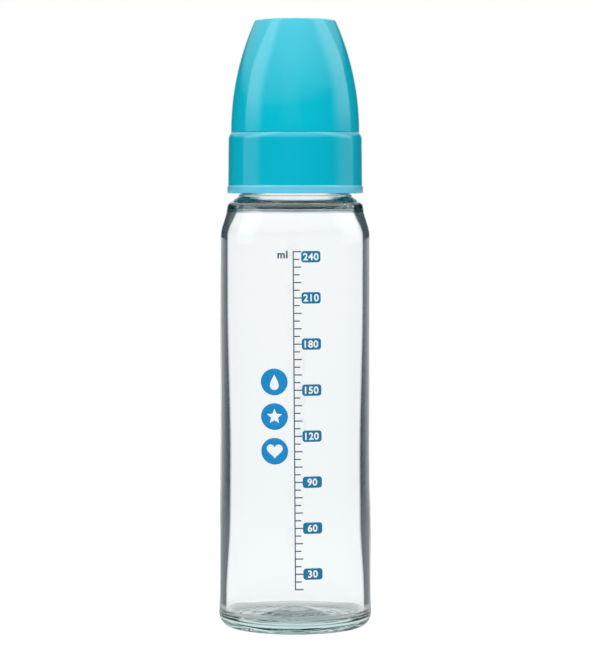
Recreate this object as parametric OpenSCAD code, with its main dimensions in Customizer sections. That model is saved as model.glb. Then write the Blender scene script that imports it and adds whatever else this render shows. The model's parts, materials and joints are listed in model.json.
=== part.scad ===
// Glass feeding bottle with a silicone teat, a screw ring and a push-on hood.
// Origin: centre of the base, on the surface that the bottle stands on. +Z up, printed scale towards -Y.

/* [Glass body] */
// Outer diameter of the glass body
body_d = 54; // [48:0.5:70]
// How much wider the glass is at the heel, on the radius
heel_flare = 0.45; // [0:0.05:1.5]
// Height of the glass bottle, base to lip
bottle_h = 173.5; // [140:0.5:215]
// Height at which the heel's taper has run out into the straight body
taper_h = 67; // [50:1:80]
// Rounding of the heel, where the wall turns into the base
heel_round = 4.9; // [3:0.1:7]
// Height of the shoulder, from the straight body up to the foot of the neck
shoulder_h = 12.7; // [10:0.1:18]
// Width of the flat ring that the bottle stands on, before its inner edge is rounded
bearing_w = 2.1; // [1.5:0.1:4]
// Rise of the underside at its centre
push_up = 2.4; // [1:0.1:3.5]

/* [Glass thickness] */
// Wall below the shoulder
wall_top = 2.5; // [2:0.1:4]
// Wall at half height
wall_mid = 3; // [2:0.1:4.5]
// Wall at the thick band above the base
wall_low = 3.6; // [2:0.1:5]
// Wall just above the floor
wall_heel = 2.8; // [2:0.1:4]
// Height of the thick band above the base
thick_band_h = 32; // [24:1:40]
// Thickness of the base at its thinnest, above the standing surface
base_t = 4.8; // [4.5:0.1:8]
// Extra rise of the inner floor at its centre
floor_rise = 2.7; // [0:0.1:4]

/* [Neck and thread] */
// Outer diameter of the neck between the threads
neck_d = 38; // [30:0.5:46]
// Thickness of the neck's wall
neck_wall = 3.2; // [2:0.1:4.5]
// How far the thread stands out from the neck
thread_depth = 1.4; // [0.8:0.1:2]
// Rise of the thread in one turn
thread_lead = 4.2; // [3.6:0.1:5.4]
// Number of turns of the thread on the glass
thread_turns = 1.75; // [1:0.25:2.25]
// Number of turns of the thread in the ring
ring_thread_turns = 1.5; // [1:0.25:2]
// Radial play between the glass thread and the ring, and the ring's thread and the neck
thread_play = 0.35; // [0.25:0.05:0.6]

/* [Screw ring] */
// Thickness of the ring's wall at its top, without the thread
ring_wall = 3.3; // [2:0.1:5]
// Height of the ring, lower edge to the ledge that the hood stands on
ring_h = 21.7; // [18:0.1:28]
// How much wider the wall is at the bottom than at the top, on the radius
ring_taper = 0.15; // [0:0.05:1]
// How far the lower rim stands out from the wall
rim_out = 0.3; // [0.1:0.1:1]
// Height of the lower rim
rim_h = 2.4; // [1:0.1:4]
// Radius of the rounded top edge
ring_round = 3.8; // [1.5:0.1:5]
// How far the rounded edge comes in before it meets the hood
ring_edge_in = 0.9; // [0.3:0.05:1.4]
// Thickness of the web that clamps the teat
web_t = 2; // [1.2:0.1:3]
// How far the web reaches in over the glass lip
web_reach = 4.4; // [3.6:0.1:6]
// Height of the spigot that the hood pushes on to
spigot_h = 5.6; // [4:0.1:8]
// Thickness of the spigot's wall
spigot_t = 1.9; // [1.2:0.1:2.5]

/* [Hood] */
// Room between the top of the teat and the hood
hood_room = 3.9; // [1:0.1:10]
// Outer diameter of the hood at its flat top, before the edge is rounded
hood_top_d = 28.9; // [24:0.1:34]
// Height of the straight stretch at the rim
hood_straight_h = 0.3; // [0.1:0.1:5]
// Rounding of the top edge
hood_round = 1.1; // [0.5:0.1:4]
// Thickness of the hood's wall
hood_wall = 1.5; // [1:0.1:2.5]

/* [Teat] */
// Thickness of the clamped flange
flange_t = 2; // [1.5:0.1:3]
// Height of the teat above the ring's ledge
teat_h = 35; // [30:0.5:48]
// Height of the domed foot above the ledge
teat_foot_h = 6; // [4:0.1:8]
// Diameter of the mouthpiece at its rounded end
teat_tip_d = 13.6; // [12.5:0.1:17]
// Diameter of the slim stretch below the mouthpiece
teat_slim_d = 11.8; // [10:0.1:12.4]
// Distance of the slim stretch's middle below the tip
teat_slim_drop = 16.8; // [14:0.1:18]
// Wall of the silicone
teat_wall = 1.6; // [1.2:0.1:2.2]
// Length of the feeding slot
slot_l = 2.6; // [1:0.1:4]
// Width of the feeding slot
slot_w = 0.5; // [0.2:0.1:1]
// Diameter of the air vent in the flange
vent_d = 1.2; // [0.8:0.1:2]

/* [Printed scale] */
// Height of the lowest mark, which is at 20 ml
first_mark_h = 16.6; // [14:0.1:22]
// Mean wall of the glass that the scale is worked out with
scale_wall = 2.73; // [2:0.01:4]
// Width of the upright line and of the marks
line_w = 0.42; // [0.3:0.02:0.8]
// Length of the short marks
short_mark_l = 2.2; // [1.5:0.1:2.4]
// Length of the long marks
long_mark_l = 2.8; // [2.5:0.1:5]
// Width of a number's badge
badge_w = 6.7; // [5:0.1:10]
// Height of a number's badge
badge_h = 4; // [3:0.1:6]
// Rounding of a badge's corners
badge_round = 1; // [0.2:0.1:1.4]
// Distance of the upright line from the middle of the front, to the left
line_left = 0.3; // [0:0.1:3]
// Lean of the whole print, in degrees
print_lean = 0.4; // [0:0.1:1]
// Thickness of the enamel
enamel_t = 0.12; // [0.1:0.01:0.2]

/* [Printed motifs] */
// Diameter of a round motif
motif_d = 9.4; // [6:0.1:11.8]
// Distance between the motifs' centres
motif_pitch = 12.2; // [12:0.1:16]
// Height of the middle motif
motif_h = 77.6; // [60:0.1:90]
// Distance of the motifs' centres from the upright line, to the left
motif_left = 6.95; // [6.5:0.05:10]

/* [Hidden] */
$fn = 96;

// Gap between pieces that rest on each other
seat_gap = 0.05;
// Gap between the neck's foot and the ring's lower edge
skirt_gap = 0.6;
// Radial gap between the hood and the spigot, and between the hood and the snap bead on the spigot
spigot_play = 0.15;
snap_play = 0.05;
// Gap between the enamel and the glass
print_gap = 0.01;
// Overlap of a cutting shape
cut = 1;

// The neck, and the pieces that fit to it
body_r = body_d / 2;
heel_r = body_r + heel_flare;
neck_r = neck_d / 2;
bore_r = neck_r - neck_wall;
crest_r = neck_r + thread_depth;
ring_in_r = crest_r + thread_play;
ring_r = ring_in_r + ring_wall;
hood_r = ring_r - ring_edge_in;
hood_in_r = hood_r - hood_wall;
spigot_r = hood_in_r - spigot_play;
web_bore_r = neck_r - web_reach;
flange_r = neck_r - 0.3;

// The pieces stack up from the glass lip
flange_z = bottle_h + seat_gap;
web_z = flange_z + flange_t + seat_gap;
ledge_z = web_z + web_t;
ring_z = ledge_z - ring_h;
neck_foot_z = ring_z - skirt_gap;
shoulder_z = neck_foot_z - shoulder_h;
teat_top_z = ledge_z + teat_h;
hood_z = ledge_z + seat_gap;
hood_h = teat_top_z + hood_room + hood_wall - hood_z;
socket_h = spigot_h + 0.4;

// The parting line that the mould leaves round the heel, and the band above it
parting_z = heel_round + 0.2;
parting_out = 0.2;
heel_band_z = heel_round + 4.6;

// Threads: the width of each ridge at its root and at its crest
glass_thread_w = [2.4, 1];
ring_thread_w = [1.9, 0.8];
flank_play = 0.15;
flank_gap = (glass_thread_w[0] + glass_thread_w[1] + ring_thread_w[0] + ring_thread_w[1]) / 4 + flank_play;
thread_start_z = ring_z + 4.9;
thread_steps = 36;
thread_sink = 0.3;
thread_fade = 20;

// Volume marks. The top one is the largest numbered one that fits below the shoulder.
ml_step = 5;
ml_long_step = 10;
ml_first = 20;
ml_badge = 30;
ml_gap = ml_step * 1000 / (PI * pow(body_r - scale_wall, 2));
marks_that_fit = floor((shoulder_z - 2 - first_mark_h) / ml_gap);
ml_top = ml_badge * floor((ml_first + ml_step * marks_that_fit) / ml_badge);
badge_mls = [for (ml = [ml_badge:ml_badge:ml_top]) ml];
motif_names = ["low", "middle", "high"];

function mark_z(ml) = first_mark_h + (ml - ml_first) / ml_step * ml_gap;
function unit(v) = v / norm(v);

// Points along an arc, as corners of an outline
function arc(centre, r, from, to, steps) =
    [for (i = [0:steps]) let (a = from + (to - from) * i / steps) [centre[0] + r * cos(a), centre[1] + r * sin(a), 0]];

// One corner of an outline, rounded to the radius r where the sides are long enough for it
function rounded(a, b, c, r, steps = 6) =
    let (u = unit(a - b), v = unit(c - b), half = acos(max(-1, min(1, u * v))) / 2)
    r == 0 || half > 89.9 ? [b] :
    let (along = min(r / tan(half), 0.49 * norm(a - b), 0.49 * norm(c - b)),
         round_r = along * tan(half),
         centre = b + unit(u + v) * round_r / sin(half),
         from = b + u * along - centre,
         to = b + v * along - centre,
         start = atan2(from.y, from.x),
         sweep = (atan2(to.y, to.x) - start + 540) % 360 - 180)
    [for (i = [0:steps]) centre + round_r * [cos(start + sweep * i / steps), sin(start + sweep * i / steps)]];

// A solid of revolution from its outline's corners, each given as [radius, height, rounding]
module turned(corners) {
    n = len(corners);
    rotate_extrude() polygon([for (i = [0:n - 1])
        let (a = corners[(i + n - 1) % n], b = corners[i], c = corners[(i + 1) % n])
        for (p = rounded([a[0], a[1]], [b[0], b[1]], [c[0], c[1]], b[2])) p]);
}

// The outer radius of the glass at a height between the heel and the shoulder
function glass_r(z) = z >= taper_h ? body_r
    : heel_r + (body_r - heel_r) * max(0, z - heel_band_z) / (taper_h - heel_band_z);

// A helical ridge on the radius base_r. It stands out where side is 1 and inwards where side is -1,
// and both of its ends fade into the wall.
module helical_ridge(base_r, widths, start_z, turns, side) {
    n = round(turns * thread_steps);
    fade_steps = thread_fade * thread_steps / 360;
    root = base_r - side * thread_sink;
    points = [for (i = [0:n])
        let (turn = i * 360 / thread_steps,
             z = start_z + i * thread_lead / thread_steps,
             fade = min(1, i / fade_steps, (n - i) / fade_steps),
             crest = base_r + side * (thread_depth * fade - thread_sink / 2 * (1 - fade)))
        for (p = [[root, -widths[0]], [crest, -widths[1]], [crest, widths[1]], [root, widths[0]]])
            [p[0] * cos(turn), p[0] * sin(turn), z + p[1] / 2]];
    sides = [for (i = [0:n - 1], k = [0:3]) let (a = 4 * i + k, b = 4 * i + (k + 1) % 4) [a, a + 4, b + 4, b]];
    faces = concat(sides, [[0, 1, 2, 3], [4 * n + 3, 4 * n + 2, 4 * n + 1, 4 * n]]);
    polyhedron(points, side < 0 ? faces : [for (f = faces) [for (k = [3:-1:0]) f[k]]]);
}

module glass_bottle() color([0.8, 0.9, 0.9, 0.4]) {
    bearing_in_r = heel_r - heel_round - bearing_w;
    shoulder_w = body_r - crest_r;
    waist = [crest_r + 0.66 * shoulder_w, neck_foot_z - 5.7];
    corner = [crest_r + 0.59 * shoulder_w, neck_foot_z - 3];
    straight_h = shoulder_z - taper_h;
    outer = [
        [0, push_up, 0],
        [bearing_in_r * 0.7, push_up, 8],
        [bearing_in_r, 0, 1],
        [heel_r, 0, heel_round],
        [heel_r, parting_z - 0.2, 0],
        [heel_r + parting_out, parting_z, 0],
        [heel_r, parting_z + 0.3, 0],
        [heel_r, heel_band_z, 0],
        [body_r, taper_h, 0],
        [body_r, shoulder_z, 16],
        [waist[0], waist[1], 4],
        [corner[0], corner[1], 2.2],
        [crest_r, neck_foot_z - 0.45, 0.5],
        [crest_r, neck_foot_z, 0.3],
        [neck_r, neck_foot_z + 0.9, 0.6],
        [neck_r, bottle_h, 1.1],
        [bore_r, bottle_h, 1.1]];
    inner = [
        [bore_r, neck_foot_z - 3.2, 4],
        [waist[0] - wall_top - 0.25, waist[1] + 0.2, 2.5],
        [body_r - wall_top, shoulder_z - 1.2, 14],
        [body_r - wall_top, taper_h + straight_h * 0.6, 30],
        [body_r - wall_mid, taper_h + straight_h * 0.27, 30],
        [body_r - wall_mid, (taper_h + thick_band_h) / 2, 30],
        [glass_r(thick_band_h) - wall_low, thick_band_h, 24],
        [heel_r - wall_heel, base_t + 6, 6],
        [heel_r - wall_heel, base_t, 2],
        [bearing_in_r * 0.7, base_t, 10],
        [0, base_t + floor_rise, 0]];
    union() {
        turned(concat(outer, inner));
        helical_ridge(neck_r, glass_thread_w, thread_start_z, thread_turns, 1);
    }
}

module silicone_teat() color("antiquewhite") {
    groove_r = web_bore_r - seat_gap;
    tip_r = teat_tip_d / 2;
    slim_r = teat_slim_d / 2;
    slim_z = teat_top_z - teat_slim_drop;
    foot_z = ledge_z + teat_foot_h;
    outer = concat([
        [flange_r, flange_z, 0.3],
        [flange_r, flange_z + flange_t, 0.3],
        [groove_r, flange_z + flange_t, 0],
        [groove_r, ledge_z + seat_gap, 0],
        [groove_r + 0.9, ledge_z + seat_gap, 0.2],
        [groove_r + 0.9, ledge_z + 1.4, 0.7],
        [groove_r - 0.4, foot_z, 5],
        [slim_r + 1.6, foot_z + 5.2, 5],
        [slim_r, slim_z, 8]],
        arc([0, teat_top_z - tip_r], tip_r, 0, 90, 12));
    inner = concat(
        arc([0, teat_top_z - tip_r], tip_r - teat_wall, 90, 0, 12), [
        [slim_r - teat_wall, slim_z, 8],
        [slim_r + 1.6 - teat_wall, foot_z + 5.2 - teat_wall, 5],
        [groove_r - 0.4 - teat_wall, foot_z - teat_wall * 0.6, 4],
        [groove_r - teat_wall, flange_z, 0.6]]);
    difference() {
        turned(concat(outer, inner));
        // The feeding slot at the tip
        translate([-slot_l / 2, -slot_w / 2, teat_top_z - teat_wall - cut]) cube([slot_l, slot_w, teat_wall + 2 * cut]);
        // The air vent in the flange
        translate([0, (flange_r + groove_r) / 2, flange_z - cut]) cylinder(d = vent_d, h = flange_t + 2 * cut);
    }
}

module screw_ring() color("deepskyblue") {
    rim_r = ring_r + ring_taper;
    edge_angle = acos(1 - ring_edge_in / ring_round);
    edge_h = ring_round * sin(edge_angle);
    bead_z = ledge_z + spigot_h - 1.9;
    corners = concat([
        [ring_in_r, ring_z, 0.3],
        [rim_r + rim_out, ring_z, 0.3],
        [rim_r + rim_out, ring_z + rim_h, 0.5],
        [rim_r, ring_z + rim_h + 0.5, 0.3]],
        arc([ring_r - ring_round, ledge_z - edge_h], ring_round, 0, edge_angle, 6), [
        [spigot_r, ledge_z, 0],
        [spigot_r, bead_z - 0.5, 0],
        [hood_in_r - snap_play, bead_z, 0],
        [spigot_r, bead_z + 0.5, 0],
        [spigot_r, ledge_z + spigot_h, 0.5],
        [spigot_r - spigot_t, ledge_z + spigot_h, 0.5],
        [spigot_r - spigot_t, ledge_z, 0.8],
        [web_bore_r, ledge_z, 0.3],
        [web_bore_r, web_z, 0.3],
        [ring_in_r, web_z, 0.6]]);
    union() {
        turned(corners);
        helical_ridge(ring_in_r, ring_thread_w, thread_start_z - flank_gap, ring_thread_turns, -1);
    }
}

// The hood's side is an arc, upright where it leaves the straight stretch at the rim
function hood_side(low, high, inset, top_round) =
    let (rise = hood_h - hood_straight_h,
         drop = hood_r - hood_top_d / 2,
         arc_r = (rise * rise + drop * drop) / (2 * drop),
         steps = 16)
    [for (i = [0:steps])
        let (h = low + (high - low) * i / steps, up = h - hood_straight_h)
        [hood_r - inset - arc_r + sqrt(arc_r * arc_r - up * up), hood_z + h, i < steps ? 0 : top_round]];

module hood() color("darkturquoise") difference() {
    turned(concat([[0, hood_z, 0], [hood_r, hood_z, 0]],
                  hood_side(hood_straight_h, hood_h, 0, hood_round), [[0, hood_z + hood_h, 0]]));
    // The inside, with a straight socket for the spigot
    turned(concat([[0, hood_z - cut, 0], [hood_in_r, hood_z - cut, 0], [hood_in_r, hood_z + socket_h, 0]],
                  hood_side(socket_h, hood_h - hood_wall, hood_wall, hood_round),
                  [[0, hood_z + hood_h - hood_wall, 0]]));
}

// A layer of enamel on the front of the glass, in the shape of the flat drawing that is its child.
// The drawing's x and y are the bottle's x and z, and the whole drawing leans a little.
module enamel() {
    inside = print_gap;
    outside = print_gap + enamel_t;
    top_z = shoulder_z - 1;
    middle_z = (first_mark_h + mark_z(ml_top)) / 2;
    intersection() {
        turned([[heel_r + inside, heel_band_z, 0], [heel_r + outside, heel_band_z, 0],
                [body_r + outside, taper_h, 0], [body_r + outside, top_z, 0],
                [body_r + inside, top_z, 0], [body_r + inside, taper_h, 0]]);
        translate([0, 0, middle_z]) rotate([90, -print_lean, 0]) translate([-line_left, -middle_z, body_r / 2])
            linear_extrude(height = body_r) children();
    }
}

module scale_marks() color("midnightblue") enamel() {
    translate([-line_w / 2, first_mark_h - line_w / 2]) square([line_w, mark_z(ml_top) - first_mark_h + line_w]);
    for (ml = [ml_first:ml_step:ml_top])
        translate([0, mark_z(ml) - line_w / 2])
            square([ml % ml_badge == 0 || ml % ml_long_step == 0 ? long_mark_l : short_mark_l, line_w]);
}

// A number's badge. The top one hangs from its mark, so that it ends level with the upright line.
module number_badge(ml) color("steelblue") enamel()
    translate([long_mark_l + print_gap, mark_z(ml) - badge_h / 2 - (ml == ml_top ? (badge_h - line_w) / 2 : 0)]) {
        for (x = [badge_round, badge_w - badge_round], y = [badge_round, badge_h - badge_round])
            translate([x, y]) circle(badge_round);
        translate([badge_round, 0]) square([badge_w - 2 * badge_round, badge_h]);
        translate([0, badge_round]) square([badge_w, badge_h - 2 * badge_round]);
    }

module motif(place) color("dodgerblue") enamel()
    translate([-motif_left, motif_h + place * motif_pitch]) circle(d = motif_d);

glass_bottle();
silicone_teat();
screw_ring();
hood();
scale_marks();
for (ml = badge_mls) number_badge(ml);
for (k = [0:2]) motif(k - 1);
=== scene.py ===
import json
import math

import bmesh
import bpy
import numpy as np
from bpy.props import FloatProperty, FloatVectorProperty, PointerProperty
from bpy.types import Operator, Panel, PropertyGroup
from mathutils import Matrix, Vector
from mathutils.bvhtree import BVHTree
from mathutils.geometry import delaunay_2d_cdt


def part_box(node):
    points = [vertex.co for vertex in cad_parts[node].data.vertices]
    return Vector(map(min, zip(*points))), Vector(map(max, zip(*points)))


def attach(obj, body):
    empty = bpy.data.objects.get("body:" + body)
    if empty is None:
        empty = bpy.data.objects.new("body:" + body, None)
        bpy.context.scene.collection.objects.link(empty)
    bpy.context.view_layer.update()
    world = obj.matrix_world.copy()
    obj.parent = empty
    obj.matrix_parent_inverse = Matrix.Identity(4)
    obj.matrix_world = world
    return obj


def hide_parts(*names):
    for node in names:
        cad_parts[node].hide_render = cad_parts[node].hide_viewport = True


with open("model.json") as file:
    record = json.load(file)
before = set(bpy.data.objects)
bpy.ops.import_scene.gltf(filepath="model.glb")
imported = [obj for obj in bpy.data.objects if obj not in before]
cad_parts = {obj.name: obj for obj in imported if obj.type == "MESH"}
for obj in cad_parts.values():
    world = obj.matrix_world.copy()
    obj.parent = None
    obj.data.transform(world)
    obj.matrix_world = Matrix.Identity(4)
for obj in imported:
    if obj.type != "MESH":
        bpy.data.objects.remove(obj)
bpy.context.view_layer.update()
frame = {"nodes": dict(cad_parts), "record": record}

bl_info = {
    "name": "Glass feeding bottle",
    "version": (1, 0, 0),
    "blender": (4, 5, 0),
    "location": "3D View > Sidebar > Bottle",
    "description": "Builds the look of a glass feeding bottle with its teat, ring, hood and printed scale",
    "category": "Add Mesh",
}

MM = 0.001

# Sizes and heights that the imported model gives
MOUNTS = {m["name"]: m for m in frame["record"]["mounts"]}
BODY_R = MOUNTS["body"]["dims"]["r_mm"] * MM
GLASS_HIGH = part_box("glass_bottle")[1]
TEAT_LOW, TEAT_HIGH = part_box("silicone_teat")
RING_LOW, RING_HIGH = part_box("screw_ring")
HOOD_LOW, HOOD_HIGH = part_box("hood")
LIP_Z = GLASS_HIGH.z
PARTING_R = GLASS_HIGH.x
RING_Z = RING_LOW.z
RIM_R = RING_HIGH.x
HOOD_Z = HOOD_LOW.z
HOOD_R = HOOD_HIGH.x
HOOD_TOP_Z = HOOD_HIGH.z
FLANGE_R = TEAT_HIGH.x
SEAT_GAP = TEAT_LOW.z - LIP_Z
LEDGE_Z = HOOD_Z - SEAT_GAP

# Places in the photograph's frame, in its pixels
FRAME_W, FRAME_H = 595, 655
IMAGE_POINTS = {
    "object_left": (218.5, None),
    "object_right": (371.4, None),
    "object_top": (None, 17.4),
    "object_bottom": (None, 634.2),
    "hood_corner_left": (255.1, 20.0),
    "hood_corner_right": (335.2, 20.0),
    "hood_rim_left": (230.6, 132.0),
    "ring_lower_left": (226.4, 192.7),
    "ring_lower_right": (362.9, 192.7),
    "scale_top": (292.7, 251.0),
    "scale_bottom": (295.3, 590.1),
    "badge_240": (311.0, 255.7),
    "badge_120": (312.0, 436.3),
    "badge_30": (313.1, 574.8),
    "unit_label": (282.5, 254.5),
}


# Settings -------------------------------------------------------------------------------------------------

def length(name, description, default, low=0.0, high=300.0):
    """A size in millimetres, as a property in metres."""
    return FloatProperty(name=name, description=description, default=default * MM,
                         min=low * MM, max=high * MM, unit="LENGTH", precision=5)


def colour(name, description, default):
    """A colour as a property, in linear red, green and blue."""
    return FloatVectorProperty(name=name, description=description, default=default,
                               subtype="COLOR", min=0, max=1)


class BottleSizes(PropertyGroup):
    """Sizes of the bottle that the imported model's boxes don't give"""
    heel_flare: length("Heel flare", "How much wider the glass is at the heel, on the radius", 0.45)
    heel_round: length("Heel rounding", "Radius where the wall turns into the base", 4.9)
    taper_height: length("Taper height", "Height at which the heel's taper has run out", 67)
    shoulder_height: length("Shoulder height", "From the straight body up to the foot of the neck", 12.7)
    push_up: length("Push-up", "Rise of the underside at its centre", 2.4)
    bearing_width: length("Bearing width", "Width of the flat ring that the bottle stands on", 2.1)
    wall_top: length("Upper wall", "Thickness of the glass below the shoulder", 2.5)
    wall_middle: length("Middle wall", "Thickness of the glass at half height", 3.0)
    wall_low: length("Lower wall", "Thickness of the glass at the thick band above the base", 3.6)
    wall_heel: length("Heel wall", "Thickness of the glass just above the floor", 2.8)
    thick_band: length("Thick band", "Height of the thick band above the base", 32)
    base_thickness: length("Base", "Thickness of the base at its thinnest, above the standing surface", 4.8)
    floor_rise: length("Floor rise", "Extra rise of the inner floor at its centre", 2.7)
    neck_radius: length("Neck radius", "Radius of the neck between the threads", 19)
    neck_wall: length("Neck wall", "Thickness of the neck's wall", 3.2)
    skirt_gap: length("Skirt gap", "Gap between the neck's foot and the ring's lower edge", 0.6)
    thread_depth: length("Thread depth", "How far the threads stand out", 1.4)
    thread_lead: length("Thread lead", "Rise of the thread in one turn", 4.2)
    thread_play: length("Thread play", "Radial play of the threads", 0.35)
    ring_wall: length("Ring wall", "Thickness of the ring's wall at its top", 3.3)
    ring_taper: length("Ring taper", "How much wider the ring's wall is at the bottom", 0.15)
    rim_height: length("Rim height", "Height of the ring's lower rim", 2.4)
    ring_round: length("Ring rounding", "Radius of the ring's rounded top edge", 3.8)
    web_thickness: length("Web", "Thickness of the ring's web", 2)
    web_reach: length("Web reach", "How far the web reaches in over the lip", 4.4)
    spigot_wall: length("Spigot wall", "Thickness of the spigot's wall", 1.9)
    hood_wall: length("Hood wall", "Thickness of the hood's wall", 1.5)
    hood_top_radius: length("Hood top", "Radius of the hood's flat top, before its edge is rounded", 14.45)
    hood_round: length("Hood rounding", "Radius of the hood's top edge", 1.1)
    teat_wall: length("Teat wall", "Thickness of the silicone", 1.6)
    teat_foot: length("Teat foot", "Height of the teat's domed foot above the ledge", 6)
    teat_tip_radius: length("Mouthpiece", "Radius of the mouthpiece's rounded end", 6.8)
    teat_slim_radius: length("Slim stretch", "Radius of the teat's slim stretch", 5.9)
    teat_slim_drop: length("Slim drop", "Distance of the slim stretch below the tip", 16.8)
    slot_length: length("Slot length", "Length of the feeding slot", 2.6)
    slot_width: length("Slot width", "Width of the feeding slot", 0.5)
    enamel: length("Enamel", "Thickness of the enamel", 0.12)
    print_gap: length("Print gap", "Gap between the enamel and the glass", 0.01)
    print_lean: FloatProperty(name="Print lean", description="Lean of the whole print",
                              default=math.radians(0.4), subtype="ANGLE")


class BottleColours(PropertyGroup):
    """Colours of the bottle's materials"""
    glass_tint: colour("Glass tint", "The glass's own colour, seen in its thickness", (0.42, 0.73, 0.71))
    plastic: colour("Plastic", "The turquoise of the ring and the hood's lower part", (0.001, 0.45, 0.59))
    # The rim's lighter turquoise is a painted highlight of the overhead light that the rim catches
    plastic_rim: colour("Rim plastic", "The ring's thin rim, which lets light through", (0.135, 0.57, 0.77))
    # The hood's own turquoise with painted light that comes through its wall, so paler than the ring's
    plastic_pale: colour("Pale plastic", "The hood where light comes through its wall", (0.001, 0.487, 0.622))
    silicone: colour("Silicone", "The teat", (0.80, 0.74, 0.65))
    slate: colour("Slate enamel", "The line, the marks and the unit", (0.055, 0.105, 0.15))
    teal: colour("Teal enamel", "The badges", (0.008, 0.17, 0.33))
    blue: colour("Blue enamel", "The motifs", (0.002, 0.235, 0.55))


class StageSettings(PropertyGroup):
    """Where the camera stands and how bright the studio is"""
    distance: length("Distance", "Camera's distance from the bottle's axis", 1010, 100, 5000)
    height: length("Height", "Camera's height above the floor", 153.5, 0, 5000)
    aim_height: length("Aim height", "Height that the camera is aimed at", 107.7)
    aim_side: length("Aim side", "How far beside the axis the camera is aimed", 0.83)
    lens: FloatProperty(name="Lens", description="Focal length in millimetres", default=154.3)
    ambient: FloatProperty(name="Ambient", description="Light from all round", default=0.62)
    key_light: FloatProperty(name="Key light", description="Brightness of the box in front", default=3.5)
    top_light: FloatProperty(name="Top light", description="Brightness of the top box", default=1.2)


# Shapes ---------------------------------------------------------------------------------------------------

ARC_STEP = math.radians(4)


def rounded_outline(corners, closed=False):
    """An outline through corners, each [radius, height, rounding] in metres.

    A corner with a rounding is an arc tangent to both its sides, made smaller where two arcs would meet on
    a side. The arc is c + (p sin((1 - t) w) + q sin(t w)) / sin(w), with p and q from its centre c to its
    ends, w its sweep and t from 0 to 1.
    """
    corners = np.array(corners, float)
    points = corners[:, :2]
    ahead = np.roll(points, -1, 0) - points
    side = np.hypot(*ahead.T)
    ahead /= side[:, None]
    back = -np.roll(ahead, 1, 0)
    half = np.arccos(np.clip((back * ahead).sum(1), -1, 1)) / 2
    along = corners[:, 2] / np.tan(half)
    if not closed:
        along[[0, -1]] = 0
    room = np.minimum(1, 0.98 * side / np.maximum(along + np.roll(along, -1), 1e-12))
    along *= np.minimum(room, np.roll(room, 1))
    parts = []
    for here, to_back, to_ahead, reach, angle in zip(points, back, ahead, along, half):
        if reach < 1e-7 or angle > 1.565:
            parts.append(here[None])
            continue
        radius = reach * math.tan(angle)
        middle = to_back + to_ahead
        centre = here + middle / np.linalg.norm(middle) * radius / math.sin(angle)
        sweep = math.pi - 2 * angle
        t = np.linspace(0, 1, max(3, math.ceil(sweep / ARC_STEP) + 1))[:, None]
        start = here + to_back * reach - centre
        end = here + to_ahead * reach - centre
        parts.append(centre + (np.sin((1 - t) * sweep) * start + np.sin(t * sweep) * end) / math.sin(sweep))
    return np.concatenate(parts)


def divided(outline, longest):
    """The outline with points added evenly along each side, so that no side is longer than longest."""
    sides = np.diff(outline, axis=0)
    counts = np.maximum(1, np.ceil(np.hypot(*sides.T) / longest)).astype(int)
    side = np.repeat(np.arange(len(sides)), counts)
    step = np.arange(counts.sum()) - np.repeat(np.cumsum(counts) - counts, counts)
    return np.concatenate([outline[side] + sides[side] * (step / counts[side])[:, None], outline[-1:]])


def arc(centre, radius, start, end):
    """Corners c + R (cos a, sin a) along an arc in the outline's plane, between two angles in degrees."""
    angle = np.radians(np.linspace(start, end, max(3, round(abs(end - start) / 4))))
    return np.stack([centre[0] + radius * np.cos(angle), centre[1] + radius * np.sin(angle), 0 * angle], 1)


def add_piece(name, vertices, faces, material, body, replaced=()):
    """A smooth-shaded mesh object that rides on a body and stands for CAD nodes."""
    mesh = bpy.data.meshes.new(name)
    mesh.from_pydata(vertices, [], faces)
    mesh.polygons.foreach_set("use_smooth", np.ones(len(mesh.polygons), bool))
    mesh.materials.append(material)
    mesh.update()
    piece = bpy.data.objects.new(name, mesh)
    bpy.context.scene.collection.objects.link(piece)
    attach(piece, body)
    if replaced:
        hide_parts(*replaced)
    return piece


def turned_surface(outline, angles, shift=None, closed=False):
    """The surface of revolution (R cos a, R sin a, z) of an outline, with R = r + shift(a, r, z).

    A closed outline joins its last row to its first. An open one starts and ends on the axis, and each
    of those rows is one vertex with triangles round it. Where the outline runs up, faces point outwards.
    """
    r = np.repeat(outline[:, :1], len(angles), 1)
    z = np.repeat(outline[:, 1:], len(angles), 1)
    a = np.repeat(angles[None], len(outline), 0)
    radius = r + shift(a, r, z) if shift else r
    vertices = np.stack([radius * np.cos(a), radius * np.sin(a), z], 2).reshape(-1, 3)
    index = np.arange(r.size).reshape(r.shape)
    if closed:
        index = np.concatenate([index, index[:1]])
    else:
        index[0] = index[0, 0]
        index[-1] = index[-1, 0]
    low, high = index[:-1], index[1:]
    corners = [low, np.roll(low, -1, 1), np.roll(high, -1, 1), high]
    quads = np.stack(corners, 2)
    if closed:
        return vertices, quads.reshape(-1, 4).tolist()
    first = quads[0][:, [0, 2, 3]]
    final = quads[-1][:, [0, 1, 2]]
    used, new_index = np.unique(index, return_inverse=True)
    new_index = new_index.reshape(index.shape)
    renumber = np.zeros(r.size, int)
    renumber[index.ravel()] = new_index.ravel()
    middle = renumber[quads[1:-1].reshape(-1, 4)].tolist()
    return vertices[used], renumber[first].tolist() + middle + renumber[final].tolist()


def even_angles(count):
    """Angles all round, starting on +X."""
    return np.linspace(0, 2 * math.pi, count, endpoint=False)


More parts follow.
